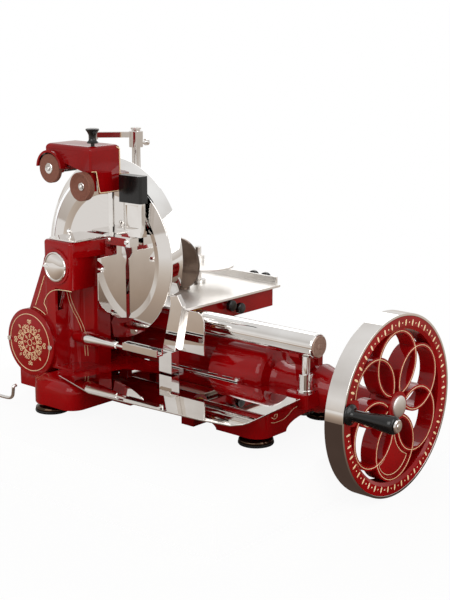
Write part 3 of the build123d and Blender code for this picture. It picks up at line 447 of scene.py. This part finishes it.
side_ring, low_ring = ring_centre(5), ring_centre(4)
flank = [p for p in arc(*side_ring, 54, 184, 262, 48) if hypot(p[0] - low_ring[0], p[1] - low_ring[1]) < 41]
corner = degrees(atan2(flank[-1][1] - low_ring[1], flank[-1][0] - low_ring[0]))
fan = flank + arc(*low_ring, 41, corner, -180 - corner, 24)[1:-1] + [(-u, v) for u, v in reversed(flank)]
lined("flywheel_fan_lining", [[(328, WHEEL.y + u, WHEEL.z + v) for u, v in fan]], "flywheel", closed=True)


def joined(tree, *shapes):
    node = add(tree, "GeometryNodeJoinGeometry")
    for shape in shapes:
        tree.links.new(shape, node.inputs["Geometry"])
    return node.outputs[0]


def brushed(tree, u, v, long, wide, thick):
    """A dab of paint: a flat drop, domed in its middle."""
    drop = add(tree, "GeometryNodeMeshUVSphere", {"Segments": 12, "Rings": 6, "Radius": 1.0})
    form = add(tree, "ShaderNodeCombineXYZ", {"X": long, "Y": wide, "Z": thick})
    place = add(tree, "ShaderNodeCombineXYZ", {"X": u, "Y": v})
    return add(tree, "GeometryNodeTransform", {"Geometry": drop.outputs[0], "Translation": place.outputs[0],
                                               "Scale": form.outputs[0]}).outputs[0]


sizes = {"Leaves": 41, "Step": radians(8.3), "Start": radians(186), "Radius": 121.8 * MM,
         "Leaf length": 4.8 * MM, "Leaf width": 1.7 * MM, "Bead": 1.2 * MM, "Paint": 0.35 * MM}
tree, size = new_growth("rim_ornament", sizes)
leaf = brushed(tree, size["Radius"], 0.0, size["Leaf length"], size["Leaf width"], size["Paint"])
half = add(tree, "ShaderNodeMath", {0: size["Step"], 1: 0.5}, operation="MULTIPLY")
between = add(tree, "ShaderNodeMath", {0: size["Start"], 1: half.outputs[0]}, operation="ADD")
bead = brushed(tree, size["Radius"], 0.0, size["Bead"], size["Bead"], size["Paint"])
leaves = fan_out(tree, leaf, size["Leaves"], size["Step"], size["Start"])
beads = fan_out(tree, bead, size["Leaves"], size["Step"], between.outputs[0])
spread = joined(tree, leaves, beads)
finish_piece(grow("flywheel_rim_ornament", tree, spread, CREAM, sizes, WHEEL_FACE), None, "flywheel")

finish_piece(lathe("finished_hub_cap", "X", [WHEEL], [
    (0, 0), (16, 0), (16.0, 2.6), (15.4, 3.4), (14.2, 3.9), (10.5, 4.6), (6.0, 5.1), (2.0, 5.35), (0, 5.4)]),
    SATIN, "flywheel", ["hub_cap"])
GRIP = (334, -38, 77)
finish_piece(lathe("finished_handle_grip", "X", [GRIP], [
    (5.05, 0.3), (13.6, 0.3), (14.8, 1.0), (15, 2.2), (14.8, 3.6), (13.0, 4.8), (10.2, 6.2), (8.9, 8.4), (8.4, 12),
    (8.5, 18), (9.0, 26), (9.9, 36), (11.0, 47), (12.2, 58), (12.9, 66), (12.8, 71), (11.8, 74.4), (9.4, 75.8),
    (5.05, 76)], closed=True), BLACK, "handle_grip", ["handle_grip"], 50)
stud = lathe("finished_handle_stud", "X", [GRIP], [
    (0, -22), (5, -22), (5, 77), (8.6, 77), (9.2, 77.5), (9.2, 78.6), (8.0, 79.8), (4.0, 80.0), (3.6, 80.8),
    (0, 81.3)])
finish_piece(stud, CHROME, "flywheel", ["handle_stud"])
DONE |= {"hub_cap", "handle_grip", "handle_stud"}

# ---------------------------------------------------------------- chain case cover and its scroll ornament
CASE = Vector((-247.0, -98.0, 91.0))
cover = lathe("finished_chain_cover", "Y", [CASE], [
    (0, 0), (54.2, 0), (55, -0.8), (55, -2.8), (54.0, -4.0), (51.6, -4.6), (0, -5.0)], 128)
finish_piece(cover, RED, "frame", ["chain_cover"], 20)
DONE.add("chain_cover")
COVER_FACE = upon((1, 0, 0), (0, 0, 1), (0, -1, 0), CASE - Vector((0, 5.0, 0)))


def scroll(tree, u, v, size, turns, heading, mirror=1):
    """A scroll that winds in on itself."""
    coil = add(tree, "GeometryNodeCurveSpiral", {"Resolution": 18, "Rotations": turns, "Start Radius": 0.5 * MM,
                                                 "End Radius": size * MM, "Height": 0.0})
    return add(tree, "GeometryNodeTransform", {"Geometry": coil.outputs[0], "Rotation": (0, 0, radians(heading)),
                                               "Translation": (u * MM, v * MM, 0),
                                               "Scale": (1, mirror, 1)}).outputs[0]


def bud(tree, u, half, low, high):
    """A small four-cornered leaf drawn in line."""
    kite = add(tree, "GeometryNodeCurvePrimitiveQuadrilateral", mode="KITE")
    for name, value in (("Width", 2 * half), ("Bottom Height", low), ("Top Height", high)):
        kite.inputs[name].default_value = value * MM
    return add(tree, "GeometryNodeTransform", {"Geometry": kite.outputs[0], "Rotation": (0, 0, -pi / 2),
                                               "Translation": (u * MM, 0, 0)}).outputs[0]


sizes = {"Scrolls": 8, "Step": radians(45), "Start": 0.0, "Line": 0.55 * MM, "Ring radius": 46.5 * MM,
         "Inner ring": 17.0 * MM}
tree, size = new_growth("cover_scrolls", sizes)
sector = joined(tree, scroll(tree, 25.5, 5.4, 5.0, 1.4, 200), scroll(tree, 25.5, -5.4, 5.0, 1.4, -200, -1),
                scroll(tree, 20.0, 3.0, 2.6, 1.1, 120), scroll(tree, 20.0, -3.0, 2.6, 1.1, -120, -1),
                bud(tree, 32.5, 1.7, 2.6, 3.6), bud(tree, 11.0, 1.5, 3.4, 3.4))
spread = fan_out(tree, sector, size["Scrolls"], size["Step"], size["Start"])
tip = joined(tree, scroll(tree, 35.5, 3.0, 2.9, 1.1, 180), scroll(tree, 35.5, -3.0, 2.9, 1.1, -180, -1))
tips = fan_out(tree, tip, 4, radians(90), 0.0)
rings = [add(tree, "GeometryNodeCurvePrimitiveCircle", {"Resolution": 128, "Radius": size[name]}).outputs[0]
         for name in ("Ring radius", "Inner ring")]
core = add(tree, "GeometryNodeCurvePrimitiveCircle", {"Resolution": 24, "Radius": 5.2 * MM}).outputs[0]
lines = painted(tree, joined(tree, spread, tips, core, *rings), size["Line"])
ornament = grow("cover_scroll_ornament", tree, lines, CREAM, sizes, COVER_FACE)
finish_piece(ornament, None, "frame", angle=60)

# ---------------------------------------------------------------- castings and their lining
dress("column_casting", 1.5)
dress("base_casting", 1.5, [RED, CHROME],
      rule=lambda x, y, z, n: 1 if -41 < x < -13 and -21 < y < -2 and z > 57 else 0)      # plated post of the guard arm
dress("gear_cover", 1.2)
dress("shaft_nose", 1.0)
dress("end_bracket", 1.2)
dress("spindle_housing", 1.0)
dress("carriage", 2.0)
neck = smooth_line([(-154, -95.4, 186.5), (-175, -95.4, 186), (-193, -95.4, 183.5), (-207, -95.4, 176),
                    (-216, -95.4, 165)], parts=6)
neck += smooth_line([(-219.5, -94.4, 158), (-214, -94.4, 150), (-212, -94.4, 142)], parts=6)
hip = [(CASE.x + u, -94.4, CASE.z + v) for u, v in arc(0, 0, 57.2, 88, 52, 12)]
flank_line = smooth_line([(-216.5, -94.4, 203), (-222.5, -94.4, 190), (-232.5, -94.4, 168), (-240, -94.4, 152.5)],
                         parts=6)
lined("column_neck_lining", [neck, hip, flank_line], "frame", radius=0.6)
recess = []
for shift in (0.0, 7.0):
    turn_in = smooth_line([(186, 170), (165, 164), (148, 155), (130, 142), (112, 132), (94, 127), (70, 125)], parts=5)
    recess.append([(-155.7 + 36.9 * cos(radians(a - shift)), -78.2 + 36.9 * sin(radians(a - shift)), z)
                   for z, a in turn_in])
lined("column_recess_lining", recess, "frame", radius=0.4)
skirt = smooth_line([(200.3, -40, 37), (200.3, -31, 35), (200.3, -12, 35.5), (200.3, 0, 40), (200.3, 12, 46),
                     (200.3, 30, 47), (200.3, 55, 42)], parts=6)
curl = smooth_line([(200.3, -40, 45), (200.3, -34, 41), (200.3, -28, 42), (200.3, -27, 46.5), (200.3, -32, 47),
                    (200.3, -33, 44)], parts=6)
front = smooth_line([(-96, -66.3, 44), (-60, -66.3, 43), (-20, -66.3, 47), (30, -66.3, 48), (80, -66.3, 46),
                     (120, -66.3, 38), (168, -66.3, 36)], parts=6)
lined("base_lining", [skirt, curl, front], "frame", radius=0.4)

# ---------------------------------------------------------------- feet
foot = [(0, 0), (25.6, 0), (26.4, 1.2), (26.4, 3.0), (25.4, 3.8), (25.8, 5.2), (25.4, 7.2), (23.6, 9.2), (20.6, 10.6),
        (19.2, 12.0), (18.6, 15.0), (0, 15.0)]
places = [(-170, -127, 0), (171, -39, 0), (168, 127, 0), (-170, 127, 0)]
finish_piece(lathe("finished_feet", "Z", places, foot, 64), [BRONZED, RUBBER], "frame", ["feet"], 40,
             rule=lambda x, y, z, n: 1 if z < 3.4 else 0)
DONE.add("feet")

# ---------------------------------------------------------------- blade, guard, plates
BLADE_AT = (-155.0, 0.0, 231.0)
finish_piece(lathe("finished_blade", "Y", [BLADE_AT], [
    (7.02, -11), (29.4, -11), (30.2, -10.6), (35.4, -8.6), (36, -8.5), (97.6, -8.5), (98.4, -8.7), (108.2, -11.85),
    (109, -12), (132.2, -9.25), (132.5, -9.0), (132.2, -8.8), (109, -9.5), (98, -6), (36, -6), (30, -5.5),
    (7.02, -5.5)], 256, closed=True), BLADE, "blade", ["blade"], 8)
GUARD_START, GUARD_SWEEP, GUARD_STEPS = -20, 242, 144
GUARD_FRONT, GUARD_LEAN = -12, Vector((-6, 20, 8))        # front face in Y; how far the back circle is shifted
# share of the way back, inner radius, outer radius
GUARD_WALL = ((0.0, 135.3, 137.7), (0.04, 135.0, 138.0), (0.5, 139.5, 143.3), (0.96, 143.6, 147.0),
              (1.0, 144.3, 146.7))
rounds = []
for i in range(GUARD_STEPS + 1):
    a = radians(GUARD_START + GUARD_SWEEP * i / GUARD_STEPS)
    section = []
    for share, inside, outside in GUARD_WALL:
        middle = Vector((BLADE_AT[0], GUARD_FRONT, BLADE_AT[2])) + GUARD_LEAN * share
        section.append([middle + Vector((r * cos(a), 0, r * sin(a))) for r in (inside, outside)])
    rounds.append([pair[1] for pair in section] + [pair[0] for pair in reversed(section)])
finish_piece(loft("finished_blade_guard", rounds), CHROME, "frame", ["blade_guard"], 30)
DONE |= {"blade", "blade_guard"}
dress("guard_arm", 0.8, CHROME)
dress("badge_plate", 0.5, MIRROR)
dress("deflector_plate", 0.4, MIRROR)
dress("adjusting_rod", 0.4, CHROME)
pin = [(0, -3), (2.6, -3), (2.6, 3.6), (3.8, 3.8), (3.8, 5.6), (2.6, 6.4), (0, 6.4)]
finish_piece(lathe("deflector_pin", "X", [(-119, -66, 222)], pin, 32), CHROME, "frame")


def rest_rule(x, y, z, n):
    """Black rest on top and a black band below, the rest plated."""
    return 1 if z > 326 or 270.5 < z < 279.5 else 0


dress("deflector_block", 0.8, [CHROME, BLACK], rule=rest_rule)
top = rounded_ring(-212, -152, -90, -18, 8)
plate = slab("head_plate", top, "Z", 262.2, 265.0)
soften(plate, 0.6)
finish_piece(plate, MIRROR, "frame")
finish_piece(lathe("head_plate_stud", "Z", [(-188, -66, 264.6)], [
    (0, 0), (5.0, 0), (5.0, 2.0), (2.4, 3.0), (2.4, 6.0), (3.6, 7.2), (4.2, 9.2), (3.4, 11.4), (1.6, 12.6),
    (0, 12.8)], 48), CHROME, "frame")

# ---------------------------------------------------------------- dial
finish_piece(lathe("finished_dial", "Y", [(-186, -95.3, 222)], [
    (0, 0), (24, 0), (24, -4.0), (23.2, -5.4), (21.6, -5.9), (20.6, -5.4), (20.2, -5.0), (17, -6.4), (12, -7.9),
    (6, -8.6), (0, -8.8)], 96), MIRROR, "thickness_dial", ["thickness_dial"], 40)
DONE.add("thickness_dial")
pointer = [(-211, 221), (-204, 219.6), (-196, 221.4), (-196, 222.6), (-204, 224.4), (-211, 223)]
mark = slab("dial_pointer", pointer, "Y", -103.6, -101.0)
finish_piece(mark, CHROME, "thickness_dial")

# ---------------------------------------------------------------- slide bar, its end and its post
dress("slide_bars", 0.8, CHROME)
dress("bar_post", 0.8, CHROME)
finish_piece(lathe("bar_end_disc", "X", [(217.0, 47, 135)], [
    (0, 0), (16.2, 0), (16.2, 2.3), (15.4, 2.9), (15.0, 2.5), (4.6, 2.5), (4.4, 3.3), (3.6, 3.6), (0, 3.7)], 72),
    TAN, "frame")

# ---------------------------------------------------------------- carriage, table and plates
dress("meat_table", 0.5, SATIN)
dress("clamp_plate", 0.5, SATIN)
# the end plate gets the darkened nickel: its dark colour is painted shade and painted reflection, not a darker plating
dress("end_plate", 0.6, SHADE_DARKENED_NICKEL)
dress("table_posts", 0.5, CHROME)
dress("press_arm", 0.8, CHROME)
dress("press_collar", 0.8, CHROME)
for node in ("carriage_knob_upper", "carriage_knob_lower"):
    dress(node, 1.2, [BLACK, CHROME], rule=lambda x, y, z, n: 1 if x < -14.4 else 0)
for node in ("table_knob_left", "table_knob_right"):
    dress(node, 1.2, [BLACK, CHROME], rule=lambda x, y, z, n: 1 if y < 252.3 else 0)
dress("feed_screw", 0.6, [STEEL, BLACK], rule=lambda x, y, z, n: 1 if y > 236.5 else 0)

# ---------------------------------------------------------------- sharpener
# downward faces of the sharpener body below z 395 are painted black as the shade under it
dress("sharpener_body", 1.4, [RED, BLACK], rule=lambda x, y, z, n: 1 if n.z < -0.5 and z < 395 else 0)   # dark below
dress("sharpener_post", 0.4, CHROME)
FLAP_X = -125.6                                # just proud of the flap's right face
flap = [(FLAP_X, y, z) for y, z in [
    (-73, 372.4), (-66, 371.8), (-63.4, 369.5), (-58.6, 345), (-56.5, 339.8), (-53, 338.6), (-19, 338.6),
    (-14.6, 340.6), (-13.6, 345), (-13.6, 398), (-15.5, 403.6), (-20, 406.5)]]
lined("sharpener_flap_lining", [smooth_line(flap, parts=5)], "sharpener", radius=0.8)
knob = [(0, 0), (3, 0), (3, 30), (8.5, 30.6), (8.8, 32.4), (6.4, 34.6), (5.4, 38), (6.0, 43), (8.0, 47.5),
        (10.3, 50.4), (10.4, 52), (9.2, 52.8), (0, 53)]
finish_piece(lathe("finished_push_knob", "Z", [(-134, -62, 384)], knob, 64), BLACK, "push_knob",
             ["push_knob"], 40)
DONE.add("push_knob")
GRINDING_AT, HONING_AT = Vector((-210, -84, 372)), Vector((-139, -87, 350))
finish_piece(lathe("finished_grinding_wheel", "Y", [GRINDING_AT], [
    (0, -2), (4, -2), (4, 0), (21.6, 0), (22.5, 0.9), (22.5, 7.1), (21.6, 8), (4, 8), (4, 50), (0, 50)], 96),
    [GRIT, STEEL], "grinding_wheel", ["grinding_wheel"], 32,
    rule=lambda x, y, z, n: 1 if hypot(x - GRINDING_AT.x, z - GRINDING_AT.z) < 4.2 else 0)
finish_piece(lathe("grinding_wheel_hub", "Y", [GRINDING_AT], [
    (0, -2.6), (2.4, -2.6), (2.8, -2.2), (2.8, -1.4), (7.6, -1.3), (8.4, -0.7), (8.6, 0.1), (0, 0.1)], 64),
    CHROME, "grinding_wheel")
finish_piece(lathe("finished_honing_wheel", "Y", [HONING_AT], [
    (0, 2), (4.6, 2), (4.6, 5), (14, 5), (15.6, 4.2), (19.6, 0.2), (21.2, 0), (22, 0.8), (22, 11), (4, 11), (4, 33),
    (0, 33)], 96), [GRIT, STEEL], "honing_wheel", ["honing_wheel"], 32,
    rule=lambda x, y, z, n: 1 if hypot(x - HONING_AT.x, z - HONING_AT.z) < 4.4 else 0)
finish_piece(lathe("honing_wheel_hub", "Y", [HONING_AT], [
    (0, 1.4), (2.2, 1.4), (2.6, 1.8), (2.6, 2.8), (5.6, 3.0), (6.2, 3.6), (6.2, 5.1), (0, 5.1)], 64),
    CHROME, "honing_wheel")
DONE |= {"grinding_wheel", "honing_wheel"}

# ---------------------------------------------------------------- tray and lever
dress("receiving_tray", 0.5, MIRROR)
dress("tray_bracket", 0.6, CHROME)
dress("slotted_screws", 0.3, CHROME)
lever = smooth_line([(-228, -150, 34), (-228, -155.4, 33), (-228.4, -156, 27), (-231, -156, 17), (-240, -156, 12.4),
                     (-262, -156, 11.4), (-284, -156, 10.8), (-299.5, -156, 10.2)], parts=8)
finish_piece(tubes("finished_release_lever", [lever], 2.6), CHROME, "release_lever", ["release_lever"], 60)
DONE.add("release_lever")

for node in sorted(frame["nodes"]):
    if node not in DONE:
        dress(node, 0.3)


# ---------------------------------------------------------------- studio
PAPER, tree = new_finish("white_paper_with_painted_reflection")
path = add(tree, "ShaderNodeLightPath")
place = add(tree, "ShaderNodeTexCoord").outputs["Object"]
flat = add(tree, "ShaderNodeVectorMath", {0: place, 1: (1, 1, 0)}, operation="MULTIPLY")
far = add(tree, "ShaderNodeVectorMath", {0: flat.outputs[0]}, operation="LENGTH")
reach = add(tree, "ShaderNodeMath", {0: far.outputs["Value"], 1: 2.4}, operation="DIVIDE")
# painted reflection: to glossy rays the floor glows dark brown near the machine, fading to white farther out, so metal
# undersides reflect brown; the camera sees it white
painted_reflection_tone = ramp(tree, reach.outputs[0], [(0.10, "#4E3F38"), (0.20, "#8A776A"), (0.38, "#BBA999"), (0.58, "#D9CEC3"),
                                      (0.80, "#F4F1EE")])
matt = add(tree, "ShaderNodeBsdfDiffuse", {"Color": srgb("#EDEBE9")})
painted_reflection_glow = add(tree, "ShaderNodeEmission", {"Color": painted_reflection_tone, "Strength": 0.9})
white = add(tree, "ShaderNodeEmission", {"Color": srgb("#FFFFFF"), "Strength": 1.0})
shiny = add(tree, "ShaderNodeMath", {0: path.outputs["Is Glossy Ray"], 1: path.outputs["Is Transmission Ray"]},
            operation="MAXIMUM")
inner = add(tree, "ShaderNodeMixShader", {"Fac": shiny.outputs[0], 1: matt.outputs[0], 2: painted_reflection_glow.outputs[0]})
clear = add(tree, "ShaderNodeMapRange", {"Value": far.outputs["Value"], "From Min": 0.35, "From Max": 0.95,
                                         "To Min": 0.93, "To Max": 1.0})
part = add(tree, "ShaderNodeMath", {0: path.outputs["Is Camera Ray"], 1: clear.outputs[0]}, operation="MULTIPLY")
mixed = add(tree, "ShaderNodeMixShader", {"Fac": part.outputs[0], 1: inner.outputs[0], 2: white.outputs[0]})
close_finish(tree, mixed)


def white_stage(name, x0, x1, y0, y1, z0, z1):
    bm = bmesh.new()
    bmesh.ops.create_cube(bm, size=1.0)
    bmesh.ops.scale(bm, vec=(x1 - x0, y1 - y0, z1 - z0), verts=bm.verts)
    bmesh.ops.translate(bm, vec=((x0 + x1) / 2, (y0 + y1) / 2, (z0 + z1) / 2), verts=bm.verts)
    obj = from_bmesh(name, bm)
    obj.data.materials.append(PAPER)
    obj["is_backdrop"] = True
    return obj


# the wheel hangs below the feet, so the feet stand on a plinth and the floor lies under the wheel
FLOOR_Z, FLOOR_THICK = -0.0756, 0.02
white_stage("studio_floor", -3.2, 2.9, -3.0, 3.0, FLOOR_Z - FLOOR_THICK, FLOOR_Z)
white_stage("studio_plinth", -0.58, 0.114, -0.22, 0.34, FLOOR_Z, 0.0)

world = bpy.data.worlds.new("studio_room")
scene.world = world
world.use_nodes = True
tree = world.node_tree
tree.nodes.clear()
path = add(tree, "ShaderNodeLightPath")
way = add(tree, "ShaderNodeTexCoord").outputs["Generated"]
split = add(tree, "ShaderNodeSeparateXYZ", {"Vector": way})
height = add(tree, "ShaderNodeMapRange", {"Value": split.outputs["Z"], "From Min": -1.0, "From Max": 1.0})
room = ramp(tree, height.outputs["Result"], [(0.0, "#4A3B34"), (0.40, "#A8988A"), (0.50, "#E6E0DA"),
                                             (0.58, "#F6F4F2"), (0.72, "#D9D6D3"), (1.0, "#FFFFFF")])
mirrored = add(tree, "ShaderNodeBackground", {"Color": room, "Strength": 0.88})
diffuse = add(tree, "ShaderNodeBackground", {"Color": srgb("#FFFFFF"), "Strength": 0.55})
plain = add(tree, "ShaderNodeBackground", {"Color": srgb("#FFFFFF"), "Strength": 1.0})
shiny = add(tree, "ShaderNodeMath", {0: path.outputs["Is Glossy Ray"], 1: path.outputs["Is Transmission Ray"]},
            operation="MAXIMUM")
lit = add(tree, "ShaderNodeMixShader", {"Fac": shiny.outputs[0], 1: diffuse.outputs[0], 2: mirrored.outputs[0]})
mixed = add(tree, "ShaderNodeMixShader", {"Fac": path.outputs["Is Camera Ray"], 1: lit.outputs[0],
                                          2: plain.outputs[0]})
add(tree, "ShaderNodeOutputWorld", {"Surface": mixed.outputs[0]})


def lamp(name, place, aim, width, height, power, colour="#FFFFFF"):
    data = bpy.data.lights.new(name, "AREA")
    data.shape = "RECTANGLE"
    data.size = width
    data.size_y = height
    data.energy = power
    data.color = srgb(colour)[:3]
    obj = bpy.data.objects.new(name, data)
    obj.location = place
    obj.rotation_euler = (Vector(aim) - Vector(place)).to_track_quat("-Z", "Y").to_euler()
    scene.collection.objects.link(obj)
    return obj


lamp("key_softbox", (0.23, -2.16, 1.7), (-0.17, 0.04, 0.15), 2.2, 1.6, 30)
lamp("side_softbox", (2.03, 0.24, 1.2), (-0.07, 0.04, 0.1), 1.6, 1.8, 16)
lamp("back_softbox", (-1.57, 1.84, 1.6), (-0.27, 0.04, 0.2), 2.0, 1.4, 14)

# ---------------------------------------------------------------- camera
eye = bpy.data.cameras.new("photo_camera")
eye.lens = 78.06
eye.sensor_width = 36.0
eye.sensor_fit = "AUTO"
eye.clip_end = 20.0
camera = bpy.data.objects.new("photo_camera", eye)
ahead = Vector((-0.63793, 0.73697, -0.22342)).normalized()
right = Vector((0.75608, 0.65448, 0.0)).normalized()
up = right.cross(ahead)
turn = Matrix((right, up, -ahead)).transposed().to_4x4()
camera.matrix_world = Matrix.Translation((1.1401, -1.3857, 0.6236)) @ turn
scene.collection.objects.link(camera)
scene.camera = camera
scene.view_settings.view_transform = "Standard"

sizes = {"cad": [list(c) for c in cad_box], "visual": [list(c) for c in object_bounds()]}
